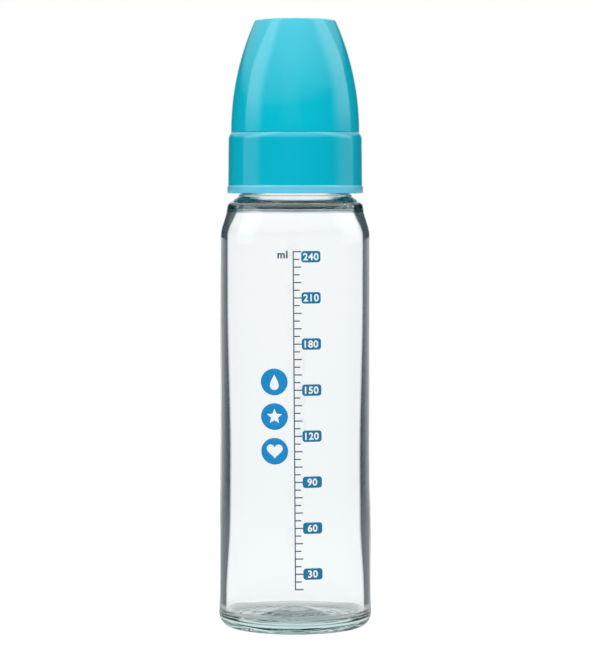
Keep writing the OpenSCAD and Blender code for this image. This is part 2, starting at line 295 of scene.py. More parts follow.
def thread_ridge(a, z, start, turns, root, crest, lead):
    """Height of a helical ridge, from 0 to 1, at angle a and height z.

    The ridge's middle rises by lead in a turn. Its flanks are straight from the root's width to the crest's,
    softened by 3h^2 - 2h^3, and it fades in and out over an eighteenth of a turn.
    """
    height = np.zeros_like(z)
    for whole in range(math.ceil(turns) + 1):
        turn = a / (2 * math.pi) + whole
        off = np.abs(z - start - lead * turn)
        flank = np.clip((root / 2 - off) / (root / 2 - crest / 2), 0, 1)
        fade = np.clip(np.minimum(turn, turns - turn) * 18, 0, 1)
        height = np.maximum(height, flank * fade)
    return height * height * (3 - 2 * height)


# Materials ------------------------------------------------------------------------------------------------

def new_material(name):
    """An empty node material and its nodes, links and output."""
    material = bpy.data.materials.new(name)
    material.use_nodes = True
    tree = material.node_tree
    tree.nodes.clear()
    output = tree.nodes.new("ShaderNodeOutputMaterial")
    return material, tree, output


def add_node(tree, kind, inputs=None, **settings):
    """A node with its plain inputs and settings; an input that is a socket is linked."""
    node = tree.nodes.new(kind)
    for key, value in settings.items():
        setattr(node, key, value)
    for key, value in (inputs or {}).items():
        if isinstance(value, bpy.types.NodeSocket):
            tree.links.new(value, node.inputs[key])
        else:
            node.inputs[key].default_value = value
    return node


def rgba(value):
    """Linear red, green, blue as a node colour."""
    return (*value[:3], 1.0)


def mixed(tree, factor, low, high):
    """A colour between two others."""
    node = add_node(tree, "ShaderNodeMix", data_type="RGBA")
    for socket, value in ((node.inputs[0], factor), (node.inputs[6], low), (node.inputs[7], high)):
        if isinstance(value, bpy.types.NodeSocket):
            tree.links.new(value, socket)
        else:
            socket.default_value = value
    return node.outputs[2]


def ranged(tree, value, low, high, new_low, new_high, smooth=False):
    """A value moved from one range to another, clamped, in a straight line or a smooth step."""
    kind = "SMOOTHSTEP" if smooth else "LINEAR"
    node = add_node(tree, "ShaderNodeMapRange", {
        "Value": value, "From Min": low, "From Max": high, "To Min": new_low, "To Max": new_high},
        interpolation_type=kind)
    return node.outputs["Result"]


def math_node(tree, operation, *values):
    """One arithmetic step on values or sockets."""
    return add_node(tree, "ShaderNodeMath", dict(enumerate(values)), operation=operation).outputs[0]


def total(tree, first, *more):
    """The sum of values or sockets."""
    for value in more:
        first = math_node(tree, "ADD", first, value)
    return first


def product(tree, first, *more):
    """The product of values or sockets."""
    for value in more:
        first = math_node(tree, "MULTIPLY", first, value)
    return first


def height_of(tree, place):
    """The height of a place, or the rise of a direction."""
    return add_node(tree, "ShaderNodeSeparateXYZ", {"Vector": place}).outputs["Z"]


def object_place(tree):
    """A place in the object's own coordinates."""
    return add_node(tree, "ShaderNodeTexCoord").outputs["Object"]


def noise(tree, scale, detail=3.0, roughness=0.5):
    """Noise on the object's own coordinates, per metre."""
    settings = {"Vector": object_place(tree), "Scale": scale, "Detail": detail, "Roughness": roughness}
    return add_node(tree, "ShaderNodeTexNoise", settings).outputs["Fac"]


def fine_bump(tree, scale, detail, strength, distance):
    """A fine bump from noise."""
    relief = noise(tree, scale, detail)
    return add_node(tree, "ShaderNodeBump", {
        "Strength": strength, "Distance": distance, "Height": relief}).outputs[0]


# The painted reflection on the glass's outer wall: dark where the wall turns away, and a paler painted teal
# reflection of the ring on the shoulder. A reach is two heights, and how much further in the painted dark
# comes up to the first and past the second.
PAINTED_EDGE_DARK = (0.006, 0.0105, 0.0135, 1)
PAINTED_SHOULDER_REFLECTION = (0.08, 0.28, 0.32, 1)
HEEL_REACH = (12 * MM, 40 * MM, -0.05, 0.03)
UPPER_REACH = (60 * MM, 120 * MM, 0, -0.07)
SHOULDER_REACH = (142 * MM, 150 * MM, 0, 0.07)
SHOULDER_END = (150 * MM, 153.5 * MM)
PALER_HEIGHTS = (149 * MM, 153 * MM)
CLEAR_FOOT = (4 * MM, 9 * MM)
PAINTED_DARK_STARTS = (0.48, 0.545)
PAINTED_DARK_FADES = (0.80, 0.86)
OUTLINE_PAINTED_DARK = 0.1
SHADOW_TINT = (0.93, 0.96, 0.96, 1)
GLASS_DENSITY = 15.0


def glass_material(colours):
    """Clear glass: it refracts, its volume takes a little red away, and shadow rays pass through it.

    Where the outer wall turns away from the eye, glass shows the dark surroundings of a studio set for it.
    A painted dark reflection in the glass's colour stands for them there. Only the turn about the upright
    axis counts, so that glass seen from above stays clear: with f how far the wall faces the eye and r the
    rise of the line to the eye, the turn is 1 - f / sqrt(1 - r^2). The painted dark reaches less far in at
    the heel and further in on the shoulder, where it is a paler painted teal reflection of the ring. It is
    weak on the very outline.
    """
    material, tree, output = new_material("clear_glass")
    height = height_of(tree, object_place(tree))
    outside = add_node(tree, "ShaderNodeAttribute", attribute_name="outside").outputs["Fac"]
    away = add_node(tree, "ShaderNodeLayerWeight", {"Blend": 0.5}).outputs["Facing"]
    upwards = add_node(tree, "ShaderNodeCombineXYZ", {"Z": 1.0}).outputs[0]
    from_above = add_node(tree, "ShaderNodeLayerWeight", {"Blend": 0.5, "Normal": upwards}).outputs["Facing"]
    faces_eye = math_node(tree, "SUBTRACT", 1, away)
    rise = math_node(tree, "SUBTRACT", 1, from_above)
    level = math_node(tree, "SQRT", math_node(tree, "SUBTRACT", 1.0001, product(tree, rise, rise)))
    turn = math_node(tree, "SUBTRACT", 1, math_node(tree, "DIVIDE", faces_eye, level))
    heel = ranged(tree, height, *HEEL_REACH, smooth=True)
    upper = ranged(tree, height, *UPPER_REACH, smooth=True)
    shoulder = product(tree, ranged(tree, height, *SHOULDER_REACH, smooth=True),
                       ranged(tree, height, *SHOULDER_END, 1, 0, smooth=True))
    reached = total(tree, turn, heel, upper, shoulder)
    # The share of painted dark reflection: where the outer wall turns away from the eye, less at the foot and
    # on the outline
    dark = product(tree, ranged(tree, reached, *PAINTED_DARK_STARTS, 0, 1, smooth=True),
                   ranged(tree, turn, *PAINTED_DARK_FADES, 1, OUTLINE_PAINTED_DARK, smooth=True),
                   ranged(tree, height, *CLEAR_FOOT, 0, 1), outside)
    # The painted colour: dark at the edges, a paler painted teal reflection of the ring on the shoulder
    painted_colour_here = mixed(tree, ranged(tree, height, *PALER_HEIGHTS, 0, 1), PAINTED_EDGE_DARK, PAINTED_SHOULDER_REFLECTION)
    glass = add_node(tree, "ShaderNodeBsdfPrincipled", {
        "Base Color": mixed(tree, dark, (1, 1, 1, 1), painted_colour_here),
        "Roughness": 0.0, "IOR": 1.5, "Transmission Weight": 1.0})
    clear = add_node(tree, "ShaderNodeBsdfTransparent", {"Color": SHADOW_TINT})
    is_shadow = add_node(tree, "ShaderNodeLightPath").outputs["Is Shadow Ray"]
    surface = add_node(tree, "ShaderNodeMixShader", {0: is_shadow, 1: glass.outputs[0], 2: clear.outputs[0]})
    tint = add_node(tree, "ShaderNodeVolumeAbsorption", {
        "Color": rgba(colours.glass_tint), "Density": GLASS_DENSITY})
    tree.links.new(surface.outputs[0], output.inputs["Surface"])
    tree.links.new(tint.outputs[0], output.inputs["Volume"])
    return material


def plastic_material(name, low_colour, high_colour, low_z, high_z):
    """Glossy moulded polypropylene, from one colour to another up its height, with a faint flow mottle."""
    material, tree, output = new_material(name)
    height = height_of(tree, object_place(tree))
    base = mixed(tree, ranged(tree, height, low_z, high_z, 0, 1), rgba(low_colour), rgba(high_colour))
    darker = mixed(tree, 0.5, base, (0, 0.30, 0.48, 1))
    mottle = ranged(tree, noise(tree, 90, 4), 0.35, 0.65, 0.0, 0.10)
    skin = ranged(tree, noise(tree, 900, 2), 0.3, 0.7, 0.09, 0.13)
    shader = add_node(tree, "ShaderNodeBsdfPrincipled", {
        "Base Color": mixed(tree, mottle, base, darker), "Roughness": skin, "IOR": 1.49,
        "Normal": fine_bump(tree, 600, 3, 0.05, 0.1 * MM)})
    tree.links.new(shader.outputs[0], output.inputs["Surface"])
    return material


def silicone_material(colours):
    """Soft translucent silicone with a fine matte skin."""
    material, tree, output = new_material("silicone")
    cloudy = ranged(tree, noise(tree, 120, 3), 0.3, 0.7, 0.0, 0.25)
    base = mixed(tree, cloudy, rgba(colours.silicone), (0.88, 0.84, 0.77, 1))
    shader = add_node(tree, "ShaderNodeBsdfPrincipled", {
        "Base Color": base, "Roughness": ranged(tree, noise(tree, 300, 2), 0.3, 0.7, 0.32, 0.44), "IOR": 1.41,
        "Subsurface Weight": 0.6, "Subsurface Radius": (1.0, 0.75, 0.55), "Subsurface Scale": 3 * MM,
        "Normal": fine_bump(tree, 2500, 3, 0.15, 0.1 * MM)})
    tree.links.new(shader.outputs[0], output.inputs["Surface"])
    return material


def enamel_material(name, base):
    """Fired enamel: an opaque colour with a fine grain and a satin surface."""
    material, tree, output = new_material(name)
    grain = ranged(tree, noise(tree, 6000, 4, 0.6), 0.3, 0.7, 0.0, 0.3)
    worn = mixed(tree, 0.12, rgba(base), (0.4, 0.6, 0.7, 1))
    shader = add_node(tree, "ShaderNodeBsdfPrincipled", {
        "Base Color": mixed(tree, grain, rgba(base), worn), "Roughness": 0.38, "IOR": 1.5,
        "Specular IOR Level": 0.15, "Normal": fine_bump(tree, 9000, 2, 0.2, 0.03 * MM)})
    tree.links.new(shader.outputs[0], output.inputs["Surface"])
    return material


# Glass ----------------------------------------------------------------------------------------------------

THREAD_TURNS = 1.75
RING_THREAD_TURNS = 1.5
GLASS_THREAD = (2.4 * MM, 1.0 * MM)
RING_THREAD = (1.9 * MM, 0.8 * MM)
THREAD_START_Z = RING_Z + 4.9 * MM
FLANK_GAP = (sum(GLASS_THREAD) + sum(RING_THREAD)) / 4 + 0.15 * MM
MOULD_SEAM = 0.05 * MM
SEAM_WIDTH = 0.35 * MM
INNER_WAVE = 0.1 * MM
KNURLS = 60
KNURL_DEPTH = 0.12 * MM
FLOOR_SWIRL = 0.16 * MM
CENTRE_SHARE = 0.7
WAIST_SHARE = 0.66
WAIST_TOP_SHARE = 0.59


def glass_places(sizes):
    """Radii of the heel, the bearing ring's inside and the thread's crest, and the neck's foot's height."""
    heel_r = BODY_R + sizes.heel_flare
    bearing_r = heel_r - sizes.heel_round - sizes.bearing_width
    crest_r = sizes.neck_radius + sizes.thread_depth
    return heel_r, bearing_r, crest_r, RING_Z - sizes.skirt_gap


def glass_outer(sizes):
    """Corners of the glass's outer side, from the middle of the underside up to the lip."""
    heel_r, bearing_r, crest_r, foot_z = glass_places(sizes)
    parting_z = sizes.heel_round + 0.2 * MM
    band_z = sizes.heel_round + 4.6 * MM
    shoulder = BODY_R - crest_r
    return [
        [0, sizes.push_up, 0],
        [bearing_r * CENTRE_SHARE, sizes.push_up, 8 * MM],
        [bearing_r, 0, 1 * MM],
        [heel_r, 0, sizes.heel_round],
        [heel_r, parting_z - 0.2 * MM, 0.4 * MM],
        [PARTING_R, parting_z, 0.4 * MM],
        [heel_r, parting_z + 0.5 * MM, 0.4 * MM],
        [heel_r, band_z, 30 * MM],
        [BODY_R, sizes.taper_height, 200 * MM],
        [BODY_R, foot_z - sizes.shoulder_height, 16 * MM],
        [crest_r + WAIST_SHARE * shoulder, foot_z - 5.7 * MM, 4 * MM],
        [crest_r + WAIST_TOP_SHARE * shoulder, foot_z - 3 * MM, 2.2 * MM],
        [crest_r, foot_z - 0.45 * MM, 0.5 * MM],
        [crest_r, foot_z, 0.3 * MM],
        [sizes.neck_radius, foot_z + 0.9 * MM, 0.6 * MM],
        [sizes.neck_radius, LIP_Z, 1.1 * MM]]


def glass_inner(sizes):
    """Corners of the glass's inner side, from the lip down to the middle of the floor."""
    heel_r, bearing_r, crest_r, foot_z = glass_places(sizes)
    bore_r = sizes.neck_radius - sizes.neck_wall
    shoulder_z = foot_z - sizes.shoulder_height
    waist_r = crest_r + WAIST_SHARE * (BODY_R - crest_r)
    straight = shoulder_z - sizes.taper_height
    top_r = BODY_R - sizes.wall_top
    middle_r = BODY_R - sizes.wall_middle
    heel_in_r = heel_r - sizes.wall_heel
    return [
        [bore_r, LIP_Z, 1.1 * MM],
        [bore_r, foot_z - 3.2 * MM, 4 * MM],
        [waist_r - sizes.wall_top - 0.25 * MM, foot_z - 5.5 * MM, 2.5 * MM],
        [top_r, shoulder_z - 1.2 * MM, 14 * MM],
        [top_r, sizes.taper_height + straight * 0.6, 300 * MM],
        [middle_r, sizes.taper_height + straight * 0.27, 300 * MM],
        [middle_r, (sizes.taper_height + sizes.thick_band) / 2, 200 * MM],
        [BODY_R + 0.27 * MM - sizes.wall_low, sizes.thick_band, 100 * MM],
        [heel_in_r, sizes.base_thickness + 6 * MM, 20 * MM],
        [heel_in_r, sizes.base_thickness, 2 * MM],
        [bearing_r * CENTRE_SHARE, sizes.base_thickness, 20 * MM],
        [0, sizes.base_thickness + sizes.floor_rise, 0]]


def body_radius(sizes, z):
    """The glass's outer radius at heights on the body."""
    outline = rounded_outline(glass_outer(sizes))
    rising = outline[outline[:, 0] > BODY_R - 3 * MM]
    return np.interp(z, rising[:, 1], rising[:, 0])


def add_glass(sizes, colours):
    """The bottle as one closed surface of revolution: outside, lip and inside.

    Its radius is shifted by the neck's thread, by two fine mould seams of depth d exp(-(s / w)^2) at distance
    s from the seam, and inside by a slow wave, the product of a sine round the axis and one up it, as blown
    glass has. Seams and wave fade in from 10 to 30 mm up and out from 120 to 140 mm. Knurls are pressed up
    into the bearing ring by sin^2 of their number times the angle, where that sine is positive. The inner
    floor has a faint swirl, the product of two bent sines. The "outside" attribute is 1 where the surface
    faces away from the axis.
    """
    whole = rounded_outline(glass_outer(sizes) + glass_inner(sizes))
    middle = (whole[:-1] + whole[1:]) / 2
    on_neck = (middle[:, 1] > RING_Z) & (middle[:, 0] > sizes.neck_radius - 0.5 * MM)
    outline = divided(whole, np.where(on_neck, 0.2 * MM, 4 * MM))
    inner_from = BODY_R - 1.7 * MM
    seams = np.array([-3, -2, -1, -0.5, 0, 0.5, 1, 2, 3]) * SEAM_WIDTH / BODY_R
    angles = np.unique(np.concatenate([even_angles(204), seams % (2 * math.pi), seams + math.pi]))

    def shift(a, r, z):
        ridge = thread_ridge(a, z, THREAD_START_Z, THREAD_TURNS, *GLASS_THREAD, sizes.thread_lead)
        on_thread = (z > RING_Z) & (r > sizes.neck_radius - 0.2 * MM)
        outside = (r > inner_from) & (z > sizes.heel_round * 0.5)
        off_seam = np.abs(np.sin(a)) * BODY_R
        seam = MOULD_SEAM * np.exp(-(off_seam / SEAM_WIDTH) ** 2)
        inside = (r > 18 * MM) & (r < inner_from) & (z > sizes.base_thickness + 3 * MM)
        settled = np.clip((z / MM - 10) / 20, 0, 1) * np.clip((140 - z / MM) / 20, 0, 1)
        wave = INNER_WAVE * np.sin(2 * a + z * 45 + 1.0) * np.sin(z * 70 + 0.5 * np.sin(a)) * settled
        return np.where(on_thread, ridge * sizes.thread_depth, 0) + seam * outside * settled + wave * inside

    vertices, faces = turned_surface(outline, angles, shift)
    bearing_in = glass_places(sizes)[1] + 0.4 * MM
    flat = (vertices[:, 2] < 0.02 * MM) & (np.hypot(vertices[:, 0], vertices[:, 1]) > bearing_in)
    around = np.arctan2(vertices[:, 1], vertices[:, 0])
    vertices[flat, 2] += KNURL_DEPTH * np.clip(np.sin(around[flat] * KNURLS), 0, 1) ** 2
    away = np.hypot(vertices[:, 0], vertices[:, 1])
    floor = (away < 23 * MM) & (np.abs(vertices[:, 2] - sizes.base_thickness - 1 * MM) < 2.4 * MM)
    x, y = vertices[floor, 0] / MM, vertices[floor, 1] / MM
    swirl = np.sin(0.75 * x + 1.1 * np.sin(0.35 * y)) * np.sin(0.6 * y + 0.8 * np.sin(0.5 * x) + 1)
    vertices[floor, 2] += FLOOR_SWIRL * swirl * np.clip((away[floor] / MM - 3) / 6, 0, 1)
    piece = add_piece("bottle_glass", vertices, faces, glass_material(colours), "bottle",
                      ["glass_bottle"])
    # The outside mark keeps the glass's painted dark reflection to the outer wall
    normals = np.empty(len(vertices) * 3)
    piece.data.vertices.foreach_get("normal", normals)
    outwards = (normals.reshape(-1, 3)[:, :2] * vertices[:, :2]).sum(1) > 0
    marks = piece.data.attributes.new("outside", "FLOAT", "POINT")
    marks.data.foreach_set("value", outwards.astype(np.float32))
    return piece


# Ring, hood and teat --------------------------------------------------------------------------------------

SPIGOT_PLAY = 0.15 * MM
BEAD_PLAY = 0.05 * MM
BEAD_DROP = 1.9 * MM
BEAD_REACH = 0.5 * MM


def add_ring(sizes, colours):
    """The screw ring: a closed outline turned about the axis, with the inner thread as a shift inwards.

    Its rounded top edge is an arc of radius R that has come in by e at the ledge, so it turns by
    arccos(1 - e / R).
    """
    in_r = sizes.neck_radius + sizes.thread_depth + sizes.thread_play
    wall_r = in_r + sizes.ring_wall
    low_r = wall_r + sizes.ring_taper
    edge_in = wall_r - HOOD_R
    edge_angle = math.degrees(math.acos(1 - edge_in / sizes.ring_round))
    edge_z = LEDGE_Z - sizes.ring_round * math.sin(math.radians(edge_angle))
    socket_r = HOOD_R - sizes.hood_wall
    spigot_r = socket_r - SPIGOT_PLAY
    bead_z = RING_HIGH.z - BEAD_DROP
    web_z = LEDGE_Z - sizes.web_thickness
    web_r = sizes.neck_radius - sizes.web_reach
    corners = np.concatenate([[
        [in_r, RING_Z, 0.3 * MM],
        [RIM_R, RING_Z, 0.3 * MM],
        [RIM_R, RING_Z + sizes.rim_height, 0.45 * MM],
        [low_r, RING_Z + sizes.rim_height + 0.5 * MM, 0.35 * MM]],
        arc((wall_r - sizes.ring_round, edge_z), sizes.ring_round, 0, edge_angle), [
        [HOOD_R - 0.08 * MM, LEDGE_Z, 0.06 * MM],
        [spigot_r, LEDGE_Z, 0.1 * MM],
        [spigot_r, bead_z - BEAD_REACH, 0.1 * MM],
        [socket_r - BEAD_PLAY, bead_z, 0.15 * MM],
        [spigot_r, bead_z + BEAD_REACH, 0.1 * MM],
        [spigot_r, RING_HIGH.z, 0.5 * MM],
        [spigot_r - sizes.spigot_wall, RING_HIGH.z, 0.5 * MM],
        [spigot_r - sizes.spigot_wall, LEDGE_Z, 0.8 * MM],
        [web_r, LEDGE_Z, 0.3 * MM],
        [web_r, web_z, 0.3 * MM],
        [in_r, web_z, 0.6 * MM]]])
    outline = rounded_outline(corners, closed=True)
    middle = (outline + np.roll(outline, -1, 0)) / 2
    on_thread = (middle[:, 0] < in_r + 0.1 * MM) & (middle[:, 1] < web_z)
    looped = np.concatenate([outline, outline[:1]])
    outline = divided(looped, np.where(on_thread, 0.16 * MM, 4 * MM))[:-1]

    def shift(a, r, z):
        ridge = thread_ridge(a, z, THREAD_START_Z - FLANK_GAP, RING_THREAD_TURNS, *RING_THREAD,
                             sizes.thread_lead)
        return np.where((r < in_r + 0.05 * MM) & (z < web_z), -ridge * sizes.thread_depth, 0)

    vertices, faces = turned_surface(outline, even_angles(240), shift, closed=True)
    rim_z = RING_Z + sizes.rim_height
    # Below the rim's top the ring takes the rim colour, a painted highlight
    material = plastic_material("ring_plastic", colours.plastic_rim, colours.plastic, rim_z, rim_z + 0.5 * MM)
    return add_piece("turquoise_ring", vertices, faces, material, "ring", ["screw_ring"])


def hood_side(sizes, low, high, inset):
    """Corners up the hood's side: an arc that is upright at the rim and meets the top at its radius.

    With the rise h and the drop d of the side, the arc's radius is (h^2 + d^2) / 2d.
    """
    rise = HOOD_TOP_Z - HOOD_Z - 0.3 * MM
    drop = HOOD_R - sizes.hood_top_radius
    radius = (rise * rise + drop * drop) / (2 * drop)
    height = np.linspace(low, high, 48)
    up = height - 0.3 * MM
    side = HOOD_R - inset - radius + np.sqrt(radius * radius - up * up)
    return np.stack([side, HOOD_Z + height, 0 * height], 1)


def add_hood(sizes, colours):
    """The hood, turned from its inner top down to the rim and up its outer side, with a shallow gate mark."""
    gate_r, gate_depth = 1.1 * MM, 0.12 * MM
    height = HOOD_TOP_Z - HOOD_Z
    in_r = HOOD_R - sizes.hood_wall
    socket = RING_HIGH.z - LEDGE_Z + 0.4 * MM
    inner = hood_side(sizes, socket, height - sizes.hood_wall, sizes.hood_wall)[::-1]
    inner[0, 2] = 2 * MM
    outer = hood_side(sizes, 0.3 * MM, height - 2 * sizes.hood_round, 0)
    corners = np.concatenate([
        [[0, HOOD_TOP_Z - sizes.hood_wall, 0]],
        inner,
        [[in_r, HOOD_Z + socket, 0.1 * MM], [in_r, HOOD_Z, 0.25 * MM], [HOOD_R, HOOD_Z, 0.2 * MM]],
        outer,
        [[sizes.hood_top_radius, HOOD_TOP_Z, sizes.hood_round],
         [gate_r, HOOD_TOP_Z, 0.2 * MM],
         [gate_r - 0.3 * MM, HOOD_TOP_Z - gate_depth, 0.2 * MM],
         [0, HOOD_TOP_Z - gate_depth + 0.02 * MM, 0]]])
    vertices, faces = turned_surface(rounded_outline(corners), even_angles(240))
    # The whole hood takes this colour: its own turquoise with a painted glow of light through its wall
    material = plastic_material("hood_plastic", colours.plastic_pale, colours.plastic_pale, 0, 1)
    return add_piece("turquoise_hood", vertices, faces, material, "hood", ["hood"])


def add_teat(sizes, colours):
    """The teat, turned from its flange up the outside to the tip and down the inside.

    Near the tip the radius is widened by (1 - r / R) s(a), where s is the slot's own outline
    (|cos a / l|^4 + |sin a / w|^4)^(-1/4) with half its length l and half its width w, so that the surface
    passes through the wall as a slot. R is where the widening has run out.
    """
    web_r = sizes.neck_radius - sizes.web_reach
    groove_r = web_r - SEAT_GAP
    tip_r, slim_r, wall = sizes.teat_tip_radius, sizes.teat_slim_radius, sizes.teat_wall
    flange_z = TEAT_LOW.z
    flange_top = LEDGE_Z - sizes.web_thickness - SEAT_GAP
    top_z = TEAT_HIGH.z
    slim_z = top_z - sizes.teat_slim_drop
    bulge_r = groove_r + 0.9 * MM
    foot_r, foot_z = groove_r - 0.4 * MM, LEDGE_Z + sizes.teat_foot
    waist_r, waist_z = slim_r + 1.6 * MM, foot_z + 5.2 * MM
    swell_z = top_z - tip_r - 1 * MM
    dome = (0, top_z - tip_r)
    corners = np.concatenate([[
        [FLANGE_R, flange_z, 0.3 * MM],
        [FLANGE_R, flange_top, 0.3 * MM],
        [groove_r, flange_top, 0.2 * MM],
        [groove_r, LEDGE_Z + SEAT_GAP, 0.2 * MM],
        [bulge_r, LEDGE_Z + SEAT_GAP, 0.2 * MM],
        [bulge_r, LEDGE_Z + 1.4 * MM, 0.7 * MM],
        [foot_r, foot_z, 5 * MM],
        [waist_r, waist_z, 5 * MM],
        [slim_r, slim_z, 40 * MM],
        [tip_r, swell_z, 20 * MM]],
        arc(dome, tip_r, 0, 90),
        arc(dome, tip_r - wall, 90, 0), [
        [tip_r - wall, swell_z, 20 * MM],
        [slim_r - wall, slim_z, 40 * MM],
        [waist_r - wall, waist_z - wall, 5 * MM],
        [foot_r - wall, foot_z - wall * 0.6, 4 * MM],
        [groove_r - wall, flange_z, 0.6 * MM]]])
    spread = 4 * MM

    def shift(a, r, z):
        across = np.abs(np.cos(a) / (sizes.slot_length / 2))
        along = np.abs(np.sin(a) / (sizes.slot_width / 2))
        slot = (across ** 4 + along ** 4) ** -0.25
        return np.clip(1 - r / spread, 0, 1) * slot * (z > slim_z)

    outline = divided(rounded_outline(corners, closed=True), 1.2 * MM)
    vertices, faces = turned_surface(outline, even_angles(192), shift, closed=True)
    return add_piece("silicone_nipple", vertices, faces, silicone_material(colours), "teat",
                     ["silicone_teat"])


# Prints ---------------------------------------------------------------------------------------------------

UNIT_HEIGHT, UNIT_BOLD = 2.75 * MM, 0.03
DIGIT_HEIGHT, DIGIT_BOLD = 2.6 * MM, 0.028
BADGE_ROUND = 1 * MM
MOTIF_SHARE = 0.3


def rounded_rectangle(width, height, radius):
    """The outline of a rectangle with round corners, about its middle."""
    angle = np.radians(np.arange(0, 360, 10) + 5)
    corner = np.array([width / 2 - radius, height / 2 - radius])
    side = np.stack([np.sign(np.cos(angle)), np.sign(np.sin(angle))], 1)
    return side * corner + radius * np.stack([np.cos(angle), np.sin(angle)], 1)


def circle(radius):
    """A circle about the middle."""
    angle = even_angles(72)
    return radius * np.stack([np.cos(angle), np.sin(angle)], 1)


def star(radius, points=5):
    """A star: tips at the radius and notches at 0.45 of it, in turn round the middle."""
    angle = even_angles(points * 2) + math.pi / 2
    reach = np.where(np.arange(points * 2) % 2 == 0, radius, radius * 0.45)
    return reach[:, None] * np.stack([np.cos(angle), np.sin(angle)], 1)


def drop(radius):
    """A falling drop: x = 0.8 sin t sin^1.6(t / 2), y = cos t."""
    t = even_angles(48)
    return radius * np.stack([0.80 * np.sin(t) * np.sin(t / 2) ** 1.6, np.cos(t)], 1)


def heart(radius):
    """A heart: x = sin^3 t, y = (13 cos t - 5 cos 2t - 2 cos 3t - cos 4t) / 16 + 0.1."""
    t = even_angles(64)
    y = (13 * np.cos(t) - 5 * np.cos(2 * t) - 2 * np.cos(3 * t) - np.cos(4 * t)) / 16
    return radius * np.stack([np.sin(t) ** 3, y + 0.1], 1)


def text_polygons(words, height, bold):
    """Plain sans-serif text of a given height as flat polygons about its middle, made bolder by an offset."""
    curve = bpy.data.curves.new("words", "FONT")
    curve.body = words
    curve.resolution_u = 6
    curve.offset = bold
    curve.space_character = 1.08
    holder = bpy.data.objects.new("words", curve)
    bpy.context.scene.collection.objects.link(holder)
    mesh = bpy.data.meshes.new_from_object(holder)
    places = np.zeros(len(mesh.vertices) * 3)
    mesh.vertices.foreach_get("co", places)
    places = places.reshape(-1, 3)[:, :2]
    low, high = places.min(0), places.max(0)
    places = (places - (low + high) / 2) * (height / (high[1] - low[1]))
    polygons = [places[list(polygon.vertices)] for polygon in mesh.polygons]
    bpy.data.objects.remove(holder)
    bpy.data.curves.remove(curve)
    bpy.data.meshes.remove(mesh)
    return polygons


def covered(polygons, spots):
    """Which spots lie inside any polygon: those where a line to the right crosses an odd count of sides."""
    inside = np.zeros(len(spots), bool)
    x, y = spots.T[:, :, None]
    for polygon in polygons:
        x0, y0 = polygon.T
        x1, y1 = np.roll(polygon, -1, 0).T
        rise = np.where(y1 == y0, 1, y1 - y0)
        crossed = ((y0 > y) != (y1 > y)) & (x < x0 + (x1 - x0) * (y - y0) / rise)
        inside |= crossed.sum(1) % 2 == 1
    return inside


def flat_region(polygons, cuts):
    """The flat region that polygons cover, less what cuts cover, as points and triangles."""
    loops = polygons + cuts
    firsts = np.cumsum([0] + [len(loop) for loop in loops])
    edges = [(first + i, first + (i + 1) % len(loop))
             for first, loop in zip(firsts.tolist(), loops) for i in range(len(loop))]
    points = [Vector(point) for point in np.concatenate(loops).tolist()]
    points, _, triangles, *_ = delaunay_2d_cdt(points, edges, [], 0, 1e-7)
    middles = np.array(points)[np.array(triangles)].mean(1)
    wanted = covered(polygons, middles) & ~covered(cuts, middles)
    return points, [triangle for triangle, keep in zip(triangles, wanted) if keep]


def add_print(name, region, centre, sizes, material, replaced=()):
    """A thin layer of enamel on the front of the glass, from a flat region about a centre (x, z).

    The flat shape leans with the whole print and is cut into narrow upright strips. Each point then goes
    straight back on to the glass: y = -sqrt(R(z)^2 - x^2), with R the glass's radius and the print's gap.
    """
    strip = 0.5 * MM
    points, faces = region
    flat = bmesh.new()
    corners = [flat.verts.new((p.x, p.y, 0)) for p in points]
    for face in faces:
        flat.faces.new([corners[i] for i in face])
    xs = [p.x for p in points]
    for x in np.arange(min(xs) + strip, max(xs), strip):
        geometry = flat.verts[:] + flat.edges[:] + flat.faces[:]
        bmesh.ops.bisect_plane(flat, geom=geometry, plane_co=(x, 0, 0), plane_no=(1, 0, 0), dist=1e-8)
    mesh = bpy.data.meshes.new(name)
    flat.to_mesh(mesh)
    flat.free()
    place = np.zeros(len(mesh.vertices) * 3)
    mesh.vertices.foreach_get("co", place)
    place = place.reshape(-1, 3)
    lean = sizes.print_lean
    x = centre[0] + place[:, 0] * math.cos(lean) - place[:, 1] * math.sin(lean)
    z = centre[1] + place[:, 0] * math.sin(lean) + place[:, 1] * math.cos(lean)
    radius = body_radius(sizes, z) + sizes.print_gap
    y = -np.sqrt(radius ** 2 - x ** 2)
    loops_of_faces = [list(polygon.vertices) for polygon in mesh.polygons]
    bpy.data.meshes.remove(mesh)
    piece = add_piece(name, np.stack([x, y, z], 1), loops_of_faces, material, "bottle", replaced)
    layer = piece.modifiers.new("enamel layer", "SOLIDIFY")
    layer.thickness = sizes.enamel
    layer.offset = 1
    return piece


def box_middle(node):
    """The middle of a CAD node's box as (x, z), and its width and height."""
    low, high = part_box(node)
    return ((low.x + high.x) / 2, (low.z + high.z) / 2), high.x - low.x, high.z - low.z


BADGE_NUMBERS = sorted(int(name.split("_")[1]) for name in frame["nodes"] if name.startswith("badge_"))
MOTIFS = {"motif_low": heart, "motif_middle": star, "motif_high": drop}


# Camera ---------------------------------------------------------------------------------------------------

def camera_ray(camera, x, y):
    """The ray through a point of the photograph's frame: where it starts and its direction."""
    lens = camera.data
    long_side = max(FRAME_W, FRAME_H)
    across = x - FRAME_W / 2 + lens.shift_x * long_side
    up = FRAME_H / 2 - y + lens.shift_y * long_side
    direction = Vector((across, up, -long_side * lens.lens / lens.sensor_width))
    turn = camera.matrix_world.to_quaternion()
    return camera.matrix_world.translation, (turn @ direction).normalized()


